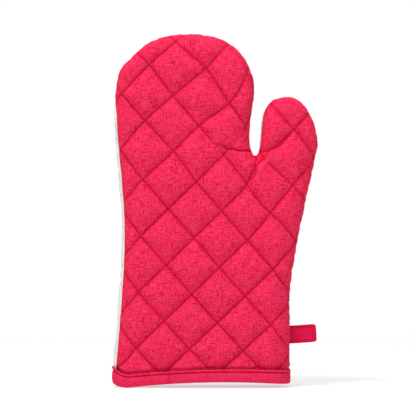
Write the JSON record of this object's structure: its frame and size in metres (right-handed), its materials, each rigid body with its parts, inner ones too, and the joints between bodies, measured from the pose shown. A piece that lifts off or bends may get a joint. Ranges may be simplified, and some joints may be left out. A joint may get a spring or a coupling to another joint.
{
  "type": "oven mitt",
  "caption": "Quilted oven mitt with a padded hand and thumb pocket, a bound cuff and a hanging loop; the thumb folds towards the palm.",
  "frame": {"origin": "on the floor, under the middle of the mitt's bounding box, with the mitt standing on its cuff", "axes": "+Z from the cuff to the fingertips, +X to the thumb's side, +Y to the palm side; the back of the hand faces -Y"},
  "size_m": [0.1815, 0.0478, 0.31],
  "materials": {
    "shell_pink": "slubbed plain-weave cotton",
    "palm_cotton": "unbleached plain-weave cotton",
    "wadding": "loose polyester fibre",
    "lining": "unbleached cotton",
    "tape_pink": "folded cotton tape",
    "thread": "polyester sewing thread"
  },
  "bodies": {
    "mitt": {"back_shell_hand": "shell_pink", "back_wadding_hand": "wadding", "back_lining_hand": "lining", "back_quilting_hand": "thread", "palm_shell_hand": "palm_cotton", "palm_wadding_hand": "wadding", "palm_lining_hand": "lining", "palm_quilting_hand": "thread", "seam_allowance_fingers": "lining", "seam_allowance_wrist": "lining", "cuff_binding": "tape_pink", "binding_stitching": "thread"},
    "thumb": {"back_shell_thumb": "shell_pink", "back_wadding_thumb": "wadding", "back_lining_thumb": "lining", "back_quilting_thumb": "thread", "palm_shell_thumb": "palm_cotton", "palm_wadding_thumb": "wadding", "palm_lining_thumb": "lining", "palm_quilting_thumb": "thread", "seam_allowance_thumb": "lining"},
    "loop": {"hanging_loop": "tape_pink"}
  },
  "joints": [
    {"name": "thumb_fold", "type": "hinge", "parent": "mitt", "child": "thumb", "pos_m": [0.055, 0.01932, 0.1575], "axis": [-0.1721, -0.0261, 0.9847], "range_deg": [0, 45], "stiffness_Nm_per_rad": 0.15},
    {"name": "loop_swing", "type": "hinge", "parent": "mitt", "child": "loop", "pos_m": [0.0677, 0.00304, 0.0455], "axis": [0, 0, 1], "range_deg": [-65, 65]}
  ]
}
